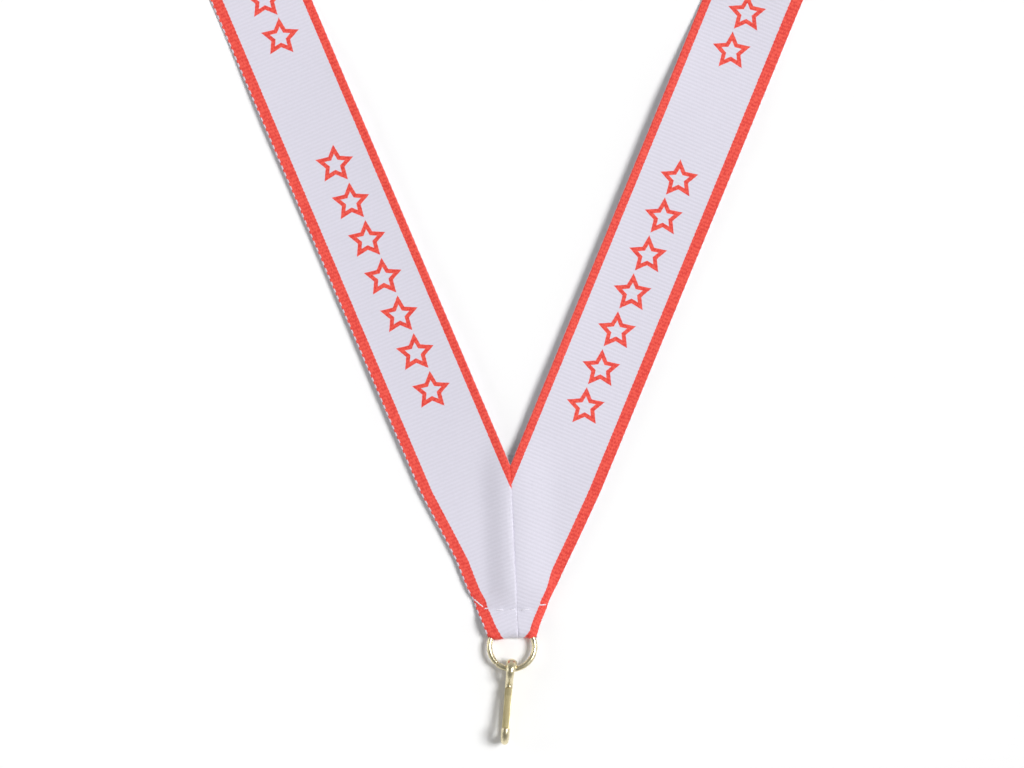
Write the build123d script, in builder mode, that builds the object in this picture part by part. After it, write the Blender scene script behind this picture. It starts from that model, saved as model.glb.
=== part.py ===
from build123d import *
import os
from math import asin, cos, degrees, radians, sin, tan

# Neck ribbon of a finisher's medal, with its jump ring and snap hook, lying on a table.
# The two flat legs of the ribbon meet in a mitred point that is hemmed round the ring, and the
# neck loop stands on its edge. Millimetres. +Z is up from the table and -Y runs from the ribbon
# to the hook. The origin is on the table, under the middle of the row of stitches above the ring.

# ---- Driving dimensions ----

# Ribbon strip
ribbon_width = 22.0
ribbon_length = 800.0  # of the cut strip, from end to end
cloth = 0.45  # thickness of one layer
left_lean = -23.1  # degrees that each leg leans from +Y
right_lean = 22.4
point = Vector(-0.4, 33.0)  # where the inner edges of the legs meet
twist_length = 58.0  # over which each leg turns up on its outer edge
twist_on_loop = 10.8  # of which lies on the neck loop's circle
twist_sections = 9

# Mitre seam and stitched foot
seam_foot_x = 1.2  # the seam leans: this is where it meets the hem
seam_gap = 0.3
seam_thread_size = 0.24
gather = 27.0  # height above the stitches where the outer edges start to draw in
foot_top = 2.2
foot_bottom = -1.6
foot_left = -7.7  # outer corners at the foot's lower edge
foot_right = 7.5
foot_layers = 3  # front layer, seam allowance and the hem's tail
stitch_size = 0.32
stitches = [  # ends of each visible stitch, from the left border to the right
    ((-9.1, 1.5), (-6.8, -0.4)),
    ((-6.6, -0.8), (-5.6, -0.7)),
    ((-3.9, -1.0), (-1.9, -1.1)),
    ((-0.4, -1.0), (0.7, -0.9)),
    ((1.8, -1.1), (4.3, -0.9)),
    ((6.3, 0.1), (8.0, 0.2)),
]

# Hem loop
hem_depth = 7.75  # from the stitches down to the fold
hem_wall = 0.7  # cloth over and under the ring
hem_clearance = 0.1  # between the ring's wire and the cloth round it
hem_left = -5.4  # outer corners at the fold
hem_right = 5.5
hem_tail = 3.0  # the cut ends lie behind the foot, this far above the stitches

# Jump ring
ring_outside = 12.0
ring_wire = 1.3
ring_drop = 9.66  # ring's centre below the stitches
ring_joint_angle = -133.0  # where its ends butt, in degrees from +X
ring_joint_gap = 0.12

# Snap hook
hook_wire_size = 1.75
hook_turn = -4.5  # degrees round the ring from its lowest point, where the hook hangs
eye_hole = 1.1  # radius of the hook's eye
eye_clearance = 0.08  # between the eye and the ring's wire
ring_in_eye = 30.0  # degrees below the eye's middle line at which the ring bears
eye_opening = 45.0  # degrees short of the top at which the wire leaves the eye
neck_bend = 1.3
neck_length = 2.45
neck_gap = 0.05  # between the neck and the spine beside it
hook_length = 17.9  # from the ring's wire to the bottom of the bend
bend_radius = 2.35  # of the bend's centre line
nose_length = 1.0
nose_round = 0.6
seat_depth = 0.16  # flat on the neck that the gate is fixed to

# Gate, a leaf spring
gate_width = 1.7
gate_thickness = 0.35
gate_root = 1.9  # length fixed to the neck
gate_overlap = 1.0  # length behind the nose
gate_clearance = 0.05

# ---- Places worked out from the dimensions ----

table = Plane.XY


def heading(lean):
    """Unit vector up a leg that leans by so many degrees from +Y."""
    return Vector(sin(radians(lean)), cos(radians(lean)))


def inward(lean):
    """Unit vector across a leg, from its outer edge to its inner edge."""
    side = 1 if lean < 0 else -1
    return Vector(side * cos(radians(lean)), -side * sin(radians(lean)))


def inner_edge(lean, distance):
    """Point on a leg's inner edge, at a distance up from the point where the legs meet."""
    return point + heading(lean) * distance


def outer_edge(lean, distance):
    """Point on a leg's outer edge, square across from inner_edge."""
    return inner_edge(lean, distance) - inward(lean) * ribbon_width


def outer_edge_at(lean, y):
    """Point on a leg's straight outer edge, at a given Y."""
    start = outer_edge(lean, 0)
    return start + heading(lean) * ((y - start.Y) / cos(radians(lean)))


# The straight outer edges, carried on down, cross at the apex of the neck loop. The loop's circle
# touches both, and its radius is what the length of the strip leaves.
half_angle = (right_lean - left_lean) / 2
middle_lean = (right_lean + left_lean) / 2
left_foot, right_foot = outer_edge_at(left_lean, 0), outer_edge_at(right_lean, 0)
apex_drop = (right_foot - left_foot).X / (tan(radians(right_lean)) - tan(radians(left_lean)))
apex = left_foot - heading(left_lean) * (apex_drop / cos(radians(left_lean)))
hem_thickness = ring_wire + 2 * hem_clearance + 2 * hem_wall  # at the fold
ring_in_hem = hem_thickness / 2  # height of the ring's wire there
below_stitches = 2 * hem_depth + hem_thickness + hem_tail
apex_to_stitches = apex_drop / cos(radians(middle_lean)) / cos(radians(half_angle))
loop_angle = 180 + 2 * half_angle
loop_radius = (ribbon_length - 2 * below_stitches + 2 * apex_to_stitches) / (
    2 / tan(radians(half_angle)) + radians(loop_angle)
)
loop_centre = apex + heading(middle_lean) * (loop_radius / sin(radians(half_angle)))
loop_touches = loop_radius / tan(radians(half_angle))  # distance from the apex
twist_starts = loop_touches + twist_on_loop - twist_length
flat_leg = twist_starts - (outer_edge(left_lean, 0) - apex).length  # of each inner edge

ring_radius = (ring_outside - ring_wire) / 2  # of the wire's centre line
eye_radius = eye_hole + hook_wire_size / 2
ring_offset = eye_hole - ring_wire / 2 - eye_clearance  # ring's wire from the eye's centre
ring_at_hook = hook_wire_size / 2 + eye_radius - ring_offset * sin(radians(ring_in_eye))
ring_tilt = degrees(asin((ring_at_hook - ring_in_hem) / (2 * ring_radius)))
ring_plane = Plane(
    origin=(0, -ring_drop, (ring_in_hem + ring_at_hook) / 2),
    x_dir=(1, 0, 0),
    z_dir=(0, sin(radians(ring_tilt)), cos(radians(ring_tilt))),
)

# The hook's plane stands up on the table. Its X runs down the hook and its Y runs up.
hook_way = Vector(sin(radians(hook_turn)), -cos(radians(hook_turn)))
hook_pivot = ring_plane.from_local_coords(hook_way * ring_radius)
hook_across = Vector(-cos(radians(hook_turn)), -sin(radians(hook_turn)))
hook_plane = Plane(origin=hook_pivot, x_dir=hook_way, z_dir=hook_across)
spine_y = hook_wire_size / 2 - hook_pivot.Z
eye_x = ring_offset * cos(radians(ring_in_eye))
bend_x = hook_length - hook_wire_size / 2 - bend_radius
neck_y = spine_y + hook_wire_size + neck_gap
nose_y = spine_y + 2 * bend_radius
seat_y = neck_y + hook_wire_size / 2 - seat_depth
neck_slope = (
    eye_radius * (1 + sin(radians(eye_opening)))
    - (neck_y - spine_y)
    - neck_bend * (1 - cos(radians(eye_opening)))
) / sin(radians(eye_opening))
neck_x = eye_x + (eye_radius + neck_slope + neck_bend) * cos(radians(eye_opening))
gate_axis_x = neck_x + neck_length
gate_tip_x = bend_x - nose_length + gate_overlap
gate_tip_y = nose_y - hook_wire_size / 2 - gate_clearance - gate_thickness


def seam_x(y):
    """X of the mitre seam at a given Y."""
    return point.X + (seam_foot_x - point.X) * (point.Y - y) / (point.Y - foot_bottom)


# ---- Ribbon ----


def leg_outline(lean, foot_x):
    """Outline of a flat leg, from the foot up to where it starts to twist."""
    shift = seam_gap / 2 if lean > 0 else -seam_gap / 2
    Polyline(
        outer_edge(lean, flat_leg),
        inner_edge(lean, flat_leg),
        inner_edge(lean, seam_gap),
        (seam_x(foot_bottom) + shift, foot_bottom),
        (foot_x, foot_bottom),
        outer_edge_at(lean, gather),
        close=True,
    )


def make_leg(lean, foot_x, name):
    """A flat leg, with the thicker foot where its layers are stitched together."""
    with BuildPart() as leg:
        with BuildSketch(table) as outline:
            with BuildLine():
                leg_outline(lean, foot_x)
            make_face()
        extrude(amount=cloth)
        with BuildSketch(table):
            add(outline.sketch)
            with Locations((0, (foot_top + foot_bottom) / 2)):
                Rectangle(2 * ribbon_width, foot_top - foot_bottom, mode=Mode.INTERSECT)
        extrude(amount=foot_layers * cloth)
    finish(leg, name)


def twist_plane(lean, distance):
    """Plane of the strip's section at a distance from where its leg starts to twist.

    The outer edge runs on along the table, up the leg and round the loop's circle, while the
    inner edge rises until the strip stands upright with its face outwards.
    """
    turn_way = 1 if lean > 0 else -1
    past = twist_starts + distance - loop_touches
    edge = apex + heading(lean) * (loop_touches + min(past, 0))
    ahead, across = heading(lean), inward(lean)
    if past > 0:
        turn = turn_way * degrees(past / loop_radius)
        edge = loop_centre + (edge - loop_centre).rotate(Axis.Z, turn)
        ahead, across = ahead.rotate(Axis.Z, turn), across.rotate(Axis.Z, turn)
    share = distance / twist_length
    rise = radians(90 * share * share * (3 - 2 * share))
    up_strip = across * cos(rise) + Vector(0, 0, sin(rise))
    face = Vector(0, 0, cos(rise)) - across * sin(rise)
    middle = edge + up_strip * (ribbon_width / 2) + face * (cloth / 2)
    return Plane(origin=middle, x_dir=up_strip, z_dir=ahead)


def make_twist(lean, name):
    """The stretch of ribbon that turns from lying flat to standing on its edge."""
    with BuildPart() as twist:
        for step in range(twist_sections):
            distance = twist_length * step / (twist_sections - 1)
            with BuildSketch(twist_plane(lean, distance)):
                Rectangle(ribbon_width, cloth)
        loft()
    finish(twist, name)


def make_neck_band():
    """The neck loop, standing on its edge round the loop's circle."""
    start = degrees(twist_on_loop / loop_radius) - half_angle - middle_lean
    with BuildPart() as band:
        with BuildSketch(table):
            with BuildLine():
                sweep_angle = loop_angle - 2 * degrees(twist_on_loop / loop_radius)
                back = CenterArc(loop_centre, loop_radius, start, sweep_angle)
                face = CenterArc(loop_centre, loop_radius + cloth, start, sweep_angle)
                Line(back @ 0, face @ 0)
                Line(back @ 1, face @ 1)
            make_face()
        extrude(amount=ribbon_width)
    finish(band, "neck_band")


def make_seam_thread():
    """The thread that joins the two legs along the mitre seam."""
    top = Vector(seam_x(point.Y - 2), point.Y - 2, cloth / 2)
    bottom = Vector(seam_x(foot_bottom + 1), foot_bottom + 1, cloth / 2)
    with BuildPart() as thread:
        with BuildSketch(Plane(origin=bottom, z_dir=top - bottom)):
            Circle(seam_thread_size / 2)
        extrude(amount=(top - bottom).length)
    finish(thread, "seam_thread")


def make_stitches():
    """The visible stitches of the row above the ring, each a short separate solid."""
    height = foot_layers * cloth
    with BuildPart() as row:
        for start, end in stitches:
            middle = (Vector(*start) + Vector(*end)) * 0.5
            along = Vector(*end) - Vector(*start)
            stitch_plane = Plane(origin=middle + Vector(0, 0, height), x_dir=along, z_dir=(0, 0, 1))
            with BuildSketch(stitch_plane):
                SlotOverall(along.length, stitch_size)
            extrude(amount=stitch_size)
    finish(row, "hem_stitches")


def make_hem_loop():
    """The folded end of the ribbon, with a channel where the ring passes through it."""
    bend = hem_thickness / 2
    fold_y = -hem_depth + bend
    foot_thickness = foot_layers * cloth
    with BuildPart() as hem:
        with BuildSketch(Plane.YZ):
            with BuildLine():
                Polyline(
                    (fold_y, 0),
                    (foot_bottom, 0),
                    (foot_bottom, foot_thickness),
                )
                ThreePointArc(
                    (foot_bottom, foot_thickness),
                    ((foot_bottom + fold_y) / 2, hem_thickness - cloth / 2),
                    (fold_y, hem_thickness),
                )
                ThreePointArc((fold_y, hem_thickness), (-hem_depth, bend), (fold_y, 0))
            make_face()
        extrude(amount=ribbon_width / 2, both=True)
        with BuildSketch(table):
            with BuildLine():
                Polyline(
                    (foot_left, foot_bottom),
                    (hem_left, -hem_depth),
                    (hem_right, -hem_depth),
                    (foot_right, foot_bottom),
                    close=True,
                )
            make_face()
        extrude(amount=hem_thickness, mode=Mode.INTERSECT)
        with Locations(ring_plane):
            Torus(ring_radius, ring_wire / 2 + hem_clearance, mode=Mode.SUBTRACT)
    finish(hem, "hem_loop")


# ---- Jump ring ----


def make_jump_ring():
    """A round wire ring whose two ends butt together."""
    joint = radians(ring_joint_angle)
    outward = ring_plane.from_local_coords((cos(joint), sin(joint), 0)) - ring_plane.origin
    section = Plane(
        origin=ring_plane.origin + outward * ring_radius,
        x_dir=outward,
        z_dir=outward.cross(ring_plane.z_dir),
    )
    with BuildPart() as ring:
        with BuildSketch(section):
            Circle(ring_wire / 2)
        revolve(
            axis=Axis(ring_plane.origin, ring_plane.z_dir),
            revolution_arc=360 - degrees(ring_joint_gap / ring_radius),
        )
    finish(ring, "jump_ring")


# ---- Snap hook ----


def make_hook_wire():
    """One round wire bent into an eye, a neck, a spine, a bend and a nose."""
    with BuildPart() as hook:
        with BuildLine(hook_plane) as route:
            Line((bend_x - nose_length, nose_y), (bend_x, nose_y))
            ThreePointArc(
                (bend_x, nose_y), (bend_x + bend_radius, spine_y + bend_radius), (bend_x, spine_y)
            )
            Line((bend_x, spine_y), (eye_x, spine_y))
            eye = JernArc((eye_x, spine_y), (-1, 0), eye_radius, eye_opening - 270)
            slope = PolarLine(eye @ 1, neck_slope, direction=eye % 1)
            turn = JernArc(slope @ 1, slope % 1, neck_bend, eye_opening)
            PolarLine(turn @ 1, neck_length, direction=turn % 1)
        with BuildSketch(Plane(origin=route.line @ 0, z_dir=route.line % 0)):
            Circle(hook_wire_size / 2)
        sweep()
        tip = hook.faces().filter_by(GeomType.PLANE).sort_by_distance(route.line @ 0)[0]
        fillet(tip.edges(), nose_round)
        with BuildSketch(hook_plane):
            with BuildLine():
                Polyline(
                    (gate_axis_x - gate_root, seat_y),
                    (gate_axis_x + neck_length, seat_y),
                    (gate_axis_x + neck_length, seat_y + gate_thickness),
                    (gate_axis_x - gate_root, seat_y + gate_thickness),
                    close=True,
                )
            make_face()
        extrude(amount=hook_wire_size, both=True, mode=Mode.SUBTRACT)
    finish(hook, "hook_wire")


def make_gate_spring():
    """A leaf spring, fixed to the neck at one end, that closes the hook behind its nose."""
    with BuildPart() as gate:
        with BuildSketch(hook_plane):
            with BuildLine():
                Polyline(
                    (gate_axis_x - gate_root, seat_y),
                    (gate_axis_x, seat_y),
                    (gate_tip_x, gate_tip_y),
                    (gate_tip_x, gate_tip_y + gate_thickness),
                    (gate_axis_x, seat_y + gate_thickness),
                    (gate_axis_x - gate_root, seat_y + gate_thickness),
                    close=True,
                )
            make_face()
        extrude(amount=gate_width / 2, both=True)
    finish(gate, "gate_spring")


def finish(part_builder, name):
    """Labels a finished piece and writes its STEP file."""
    part_builder.part.label = name
    export_step(part_builder.part, f"parts/{name}.step")


os.makedirs("parts", exist_ok=True)
make_leg(left_lean, foot_left, "left_leg")
make_leg(right_lean, foot_right, "right_leg")
make_twist(left_lean, "left_twist")
make_twist(right_lean, "right_twist")
make_neck_band()
make_seam_thread()
make_stitches()
make_hem_loop()
make_jump_ring()
make_hook_wire()
make_gate_spring()
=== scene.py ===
import math

import bmesh
import bpy
import numpy as np
from bpy.props import FloatProperty, FloatVectorProperty, IntProperty, PointerProperty
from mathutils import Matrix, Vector
from mathutils.bvhtree import BVHTree


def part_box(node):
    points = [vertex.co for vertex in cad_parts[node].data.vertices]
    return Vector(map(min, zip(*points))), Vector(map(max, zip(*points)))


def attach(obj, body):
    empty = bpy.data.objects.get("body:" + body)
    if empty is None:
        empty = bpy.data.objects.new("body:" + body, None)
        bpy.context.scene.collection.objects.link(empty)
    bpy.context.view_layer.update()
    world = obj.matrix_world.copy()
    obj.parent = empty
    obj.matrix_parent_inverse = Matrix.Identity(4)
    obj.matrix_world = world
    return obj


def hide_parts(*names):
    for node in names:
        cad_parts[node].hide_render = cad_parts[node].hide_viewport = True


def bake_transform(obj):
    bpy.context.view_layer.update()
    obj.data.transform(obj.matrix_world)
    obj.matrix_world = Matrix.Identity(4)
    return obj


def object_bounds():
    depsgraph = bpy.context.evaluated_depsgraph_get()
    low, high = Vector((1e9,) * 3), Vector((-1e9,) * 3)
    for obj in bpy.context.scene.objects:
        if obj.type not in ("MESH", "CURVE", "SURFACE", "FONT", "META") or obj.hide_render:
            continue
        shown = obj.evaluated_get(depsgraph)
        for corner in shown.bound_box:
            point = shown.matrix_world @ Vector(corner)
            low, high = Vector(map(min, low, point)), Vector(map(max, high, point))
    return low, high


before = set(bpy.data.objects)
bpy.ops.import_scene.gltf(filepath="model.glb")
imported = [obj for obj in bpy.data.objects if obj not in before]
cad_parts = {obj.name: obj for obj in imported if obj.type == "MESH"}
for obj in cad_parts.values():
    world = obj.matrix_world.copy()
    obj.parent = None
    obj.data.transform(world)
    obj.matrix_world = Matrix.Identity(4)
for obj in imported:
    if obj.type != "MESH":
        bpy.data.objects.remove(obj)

bl_info = {
    "name": "Medal neck ribbon",
    "version": (1, 0, 0),
    "blender": (4, 5, 0),
    "location": "View3D > Sidebar > Neck Ribbon",
    "description": "Weaves a medal's neck ribbon and finishes its ring and snap hook",
    "category": "Object",
}

CAD_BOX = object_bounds()
MM = 0.001
LEFT, RIGHT = -1, 1
WIRE_SIDES = 28  # points round a wire
STITCHES = [  # ends of each visible stitch, in millimetres
    ((-9.1, 1.5), (-6.8, -0.4)),
    ((-6.6, -0.8), (-5.6, -0.7)),
    ((-3.9, -1.0), (-1.9, -1.1)),
    ((-0.4, -1.0), (0.7, -0.9)),
    ((1.8, -1.1), (4.3, -0.9)),
    ((6.3, 0.1), (8.0, 0.2)),
]


# ---------------------------------------------------------------- settings


class RibbonSettings(bpy.types.PropertyGroup):
    """Sizes and colours of the woven strip."""

    width: FloatProperty(
        name="Width", description="Width of the strip", default=22 * MM, unit="LENGTH"
    )
    length: FloatProperty(
        name="Length", description="Cut length of the strip", default=0.8, unit="LENGTH"
    )
    cloth: FloatProperty(
        name="Cloth", description="Thickness of one layer", default=0.45 * MM, unit="LENGTH"
    )
    rib: FloatProperty(
        name="Rib pitch",
        description="Distance from one rib to the next",
        default=0.88 * MM,
        unit="LENGTH",
    )
    left_lean: FloatProperty(
        name="Left lean", description="Lean of the left leg from +Y, in degrees", default=-23.1
    )
    right_lean: FloatProperty(
        name="Right lean", description="Lean of the right leg from +Y, in degrees", default=22.4
    )
    outer_border: FloatProperty(
        name="Outer border",
        description="Width of the border on the outer edge",
        default=2.6 * MM,
        unit="LENGTH",
    )
    inner_border: FloatProperty(
        name="Inner border",
        description="Width of the border on the inner edge",
        default=1.95 * MM,
        unit="LENGTH",
    )
    ground: FloatVectorProperty(
        name="Ground",
        description="Colour of the cloth",
        subtype="COLOR",
        size=3,
        default=(0.725, 0.705, 0.80),
    )
    ink: FloatVectorProperty(
        name="Ink",
        description="Colour of the borders and stars",
        subtype="COLOR",
        size=3,
        default=(0.87, 0.100, 0.070),
    )


class MotifSettings(bpy.types.PropertyGroup):
    """The printed run of outlined stars."""

    stars: IntProperty(name="Stars", description="Stars in one run", default=7)
    star_pitch: FloatProperty(
        name="Star pitch",
        description="Distance from one star to the next",
        default=9.7 * MM,
        unit="LENGTH",
    )
    height: FloatProperty(
        name="Height", description="Height of a star", default=8.0 * MM, unit="LENGTH"
    )
    stroke: FloatProperty(
        name="Stroke", description="Width of the outline", default=0.97 * MM, unit="LENGTH"
    )
    run_pitch: FloatProperty(
        name="Run pitch",
        description="Distance from one run to the next",
        default=91 * MM,
        unit="LENGTH",
    )


class MetalSettings(bpy.types.PropertyGroup):
    """Finish of the ring, the hook and its gate."""

    plating: FloatVectorProperty(
        name="Plating",
        description="Colour of the plated wire",
        subtype="COLOR",
        size=3,
        default=(0.80, 0.715, 0.475),
    )
    strip: FloatVectorProperty(
        name="Strip",
        description="Colour of the gate's strip",
        subtype="COLOR",
        size=3,
        default=(0.57, 0.50, 0.295),
    )
    polish: FloatProperty(
        name="Roughness", description="Roughness of the plated wire", default=0.22, min=0, max=1
    )


class StageSettings(bpy.types.PropertyGroup):
    """Camera and light."""

    field: FloatProperty(
        name="Field",
        description="Width of the table that the camera sees",
        default=242.7 * MM,
        unit="LENGTH",
    )
    height: FloatProperty(
        name="Camera height",
        description="Height of the camera over the table",
        default=0.9,
        unit="LENGTH",
    )
    middle: FloatProperty(
        name="Middle",
        description="How far up the ribbon the camera looks",
        default=52.4 * MM,
        unit="LENGTH",
    )
    key: FloatProperty(
        name="Key light", description="Strength of the light from the right", default=2.75
    )
    softness: FloatProperty(
        name="Softness", description="Angle that the key light fills, in degrees", default=24
    )
    panel: FloatProperty(
        name="Left panel", description="Power of the panel on the left", default=1.6
    )
    horizon: FloatProperty(
        name="Horizon", description="Brightness of the room round the table", default=0.57
    )
    ceiling: FloatProperty(
        name="Ceiling", description="Brightness of the room overhead", default=0.25
    )


# ---------------------------------------------------------------- shader graph


class Sum:
    """A shader value whose arithmetic adds Math nodes."""

    def __init__(self, graph, socket):
        self.graph, self.socket = graph, socket

    def _op(self, operation, *values):
        return self.graph.math(operation, *values)

    def __add__(self, other):
        return self._op("ADD", self, other)

    def __radd__(self, other):
        return self._op("ADD", other, self)

    def __sub__(self, other):
        return self._op("SUBTRACT", self, other)

    def __rsub__(self, other):
        return self._op("SUBTRACT", other, self)

    def __mul__(self, other):
        return self._op("MULTIPLY", self, other)

    def __rmul__(self, other):
        return self._op("MULTIPLY", other, self)

    def __truediv__(self, other):
        return self._op("DIVIDE", self, other)

    def __mod__(self, other):
        return self._op("FLOORED_MODULO", self, other)

    def __abs__(self):
        return self._op("ABSOLUTE", self)

    def __lt__(self, other):
        return self._op("LESS_THAN", self, other)

    def __gt__(self, other):
        return self._op("GREATER_THAN", self, other)


class Graph:
    """A material's node tree."""

    def __init__(self, name):
        self.material = bpy.data.materials.new(name)
        self.material.use_nodes = True
        self.tree = self.material.node_tree
        self.tree.nodes.clear()

    def node(self, kind, settings=None, inputs=None, output=0):
        """Adds a node, sets it and feeds its sockets, and returns one of its outputs."""
        made = self.tree.nodes.new("ShaderNode" + kind)
        for key, value in (settings or {}).items():
            setattr(made, key, value)
        for key, value in (inputs or {}).items():
            self.feed(made.inputs[key], value)
        if not made.outputs:
            return None
        socket = made.outputs[output]
        return Sum(self, socket) if socket.type == "VALUE" else socket

    def feed(self, socket, value):
        """Links a value to a socket, or sets the socket to a number or a colour."""
        if isinstance(value, Sum):
            self.tree.links.new(value.socket, socket)
        elif isinstance(value, bpy.types.NodeSocket):
            self.tree.links.new(value, socket)
        elif socket.type == "RGBA" and len(value) == 3:
            socket.default_value = (*value, 1)
        else:
            socket.default_value = value

    def math(self, operation, *values):
        return self.node("Math", {"operation": operation}, dict(enumerate(values)))

    def smooth(self, value, low, high):
        """0 below low, 1 above high, and smooth between."""
        return self.node(
            "MapRange",
            {"interpolation_type": "SMOOTHSTEP"},
            {"Value": value, "From Min": low, "From Max": high},
        )

    def mix(self, factor, first, second):
        settings = {"data_type": "RGBA"}
        return self.node("Mix", settings, {0: factor, 6: first, 7: second}, output=2)

    def attribute(self, name):
        return self.node("Attribute", {"attribute_name": name}, output=2)

    def noise(self, vector, scale, detail=2.0):
        return self.node("TexNoise", {}, {"Vector": vector, "Scale": scale, "Detail": detail})

    def point(self, x, y, z=0.0):
        return self.node("CombineXYZ", {}, {0: x, 1: y, 2: z})

    def place(self):
        """Place on the object, in metres."""
        return self.node("TexCoord", output=3)

    def wave(self, phase):
        """A cosine wave from 0 to 1."""
        return self.math("COSINE", phase) * 0.5 + 0.5

    def bump(self, height, distance, strength):
        inputs = {"Height": height, "Distance": distance, "Strength": strength}
        return self.node("Bump", {}, inputs)

    def principled(self, inputs):
        """Ends the tree in one Principled shader, and returns the material."""
        shader = self.node("BsdfPrincipled", {}, inputs)
        self.node("OutputMaterial", {}, {"Surface": shader})
        return self.material


# ---------------------------------------------------------------- materials


def grosgrain(ribbon, motif):
    """Ribbed cloth with inked borders and a run of outlined stars on its face."""
    g = Graph("grosgrain")
    across, along, face = g.attribute("across"), g.attribute("along"), g.attribute("face")
    cell = g.point(across, along)
    turn = 2 * math.pi

    # Ribs run across the strip. Neighbouring warp yarns ride over alternate ribs.
    warp, tuft = 0.24 * MM, 0.36 * MM
    rib = g.wave(along * (turn / ribbon.rib))
    odd = g.math("FLOOR", across / warp) % 2.0
    stagger = g.wave(along * (turn / (2 * ribbon.rib)) + odd * math.pi)
    yarn = g.wave(across * (turn / warp))
    fuzz = g.noise(cell, 9000.0, 3.0)
    drift = g.noise(cell, 60.0)
    relief = rib * 0.5 + stagger * rib * 0.2 + yarn * 0.14 + fuzz * 0.2
    knot = g.point(g.math("FLOOR", across / tuft), g.math("FLOOR", along / (ribbon.rib / 2)))
    mottle = g.node("TexWhiteNoise", {"noise_dimensions": "2D"}, {"Vector": knot})

    # Printed borders, with an uneven edge where the ink follows the yarns.
    wander = (g.noise(cell, 1500.0, 1.0) - 0.5) * (0.22 * MM) + (rib - 0.5) * (0.05 * MM)
    blur = 0.06 * MM
    outer_end, inner_start = ribbon.outer_border, ribbon.width - ribbon.inner_border
    outer = 1 - g.smooth(across + wander, outer_end - blur, outer_end + blur)
    inner = g.smooth(across + wander, inner_start - blur, inner_start + blur)
    loop = g.wave(along * (turn / (2 * ribbon.rib)))
    bare_edge = (1 - g.smooth(across, 0.10 * MM, 0.34 * MM)) * g.attribute("white_edge")
    bare = bare_edge * g.smooth(loop, 0.25, 0.6)

    printed = g.math("MAXIMUM", g.math("MAXIMUM", outer, inner), star_print(g, motif, wander))
    inked = printed * face * (1 - bare)
    show_through = printed * (1 - face) * 0.10

    # The cloth's colour is painted darker in the rib hollows: painted shade, mixed with a random
    # mottle of the yarns.
    noise = (mottle - 0.5) * 0.03 + (fuzz - 0.5) * 0.06 + (drift - 0.5) * 0.05
    shade = 0.90 + 0.06 * rib + noise
    # The ink is painted darker in the rib hollows, towards a deep red: painted shade, mixed with a
    # random mottle of the yarns.
    ink_noise = (mottle - 0.5) * 0.30 + (stagger - 0.5) * 0.10 + (fuzz - 0.5) * 0.16
    ink_shade_and_mottle = 0.85 + 0.16 * rib + ink_noise
    shaded_hollow_ground = tuple(0.86 * c for c in ribbon.ground)
    ground = g.mix(g.smooth(shade, 0.8, 1.05), shaded_hollow_ground, tuple(ribbon.ground))
    ink = g.mix(g.smooth(ink_shade_and_mottle, 0.72, 1.1), (0.70, 0.045, 0.035), tuple(ribbon.ink))
    return g.principled(
        {
            "Base Color": g.mix(g.math("MAXIMUM", inked, show_through), ground, ink),
            "Roughness": 0.74 - inked * 0.10 + (fuzz - 0.5) * 0.1,
            "Specular IOR Level": 0.28,
            "Sheen Weight": 0.25,
            "Sheen Roughness": 0.4,
            "Normal": g.bump(relief, 0.07 * MM, 0.65),
        }
    )


def star_print(g, motif, wander):
    """Where the outlines of the five-pointed stars are inked, 0 to 1."""
    mark, star_y = g.attribute("mark"), g.attribute("star_y")
    whole = 10  # runs added before a modulo, to keep its value above 0
    run_x = ((mark + (whole + 0.5)) % 1.0 - 0.5) * motif.run_pitch
    pitch = motif.star_pitch
    x = (run_x + (motif.stars / 2 + 5 * whole) * pitch) % pitch - pitch / 2

    # Folded into half of one point, a star's edge is one straight line from its tip to its notch.
    half_point = math.pi / 5
    tip = motif.height / (1 + math.cos(half_point))
    notch = 0.50 * tip
    notch_x, notch_y = notch * math.cos(half_point), notch * math.sin(half_point)
    side = math.hypot(notch_x - tip, notch_y)
    reach = g.math("SQRT", x * x + star_y * star_y)
    sector = g.math("PINGPONG", g.math("ARCTAN2", x, star_y) + 2 * math.pi, half_point)
    to_tip = reach * g.math("COSINE", sector) - tip
    off_axis = reach * g.math("SINE", sector)
    from_edge = to_tip * (notch_y / side) - off_axis * ((notch_x - tip) / side)
    inset, blur = 0.35 * MM, 0.05 * MM
    stroke = motif.stroke / 2
    outline = 1 - g.smooth(abs(from_edge + inset) + wander * 0.3, stroke - blur, stroke + blur)
    in_run = abs(run_x) < (motif.stars * pitch / 2)
    return outline * (in_run * (mark > -0.5) * g.attribute("before_last"))


def sewing_thread():
    """Two-ply polyester thread."""
    g = Graph("sewing_thread")
    fibre = g.noise(g.place(), 16000.0)
    colour = g.mix(fibre, (0.75, 0.73, 0.80), (0.86, 0.84, 0.90))
    return g.principled(
        {
            "Base Color": colour,
            "Roughness": 0.42 + fibre * 0.16,
            "Sheen Weight": 0.3,
            "Normal": g.bump(fibre, 0.02 * MM, 0.5),
        }
    )


def plated_wire(metal, name):
    """Pale gold plating on drawn wire, with fine drawing marks, haze and small dull spots."""
    g = Graph(name)
    place = g.place()
    haze = g.noise(place, 420.0, 3.0)
    angle, along = g.attribute("wire_round"), g.attribute("wire_along")
    # Drawing marks are twenty times as long as they are wide.
    drawn = g.point(g.math("COSINE", angle) * MM, g.math("SINE", angle) * MM, along * 0.05)
    grain = g.noise(drawn, 9000.0, 3.0)
    spots = g.smooth(g.noise(place, 1100.0), 0.64, 0.78)
    dull = tuple(0.72 * c for c in metal.plating)
    colour = g.mix(haze * 0.3 + spots * 0.35, tuple(metal.plating), dull)
    roughness = metal.polish + haze * 0.10 + spots * 0.08
    return g.principled(
        {
            "Base Color": colour,
            "Metallic": 1.0,
            "Roughness": roughness,
            "Normal": g.bump(grain, 0.006 * MM, 0.2),
        }
    )


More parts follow.
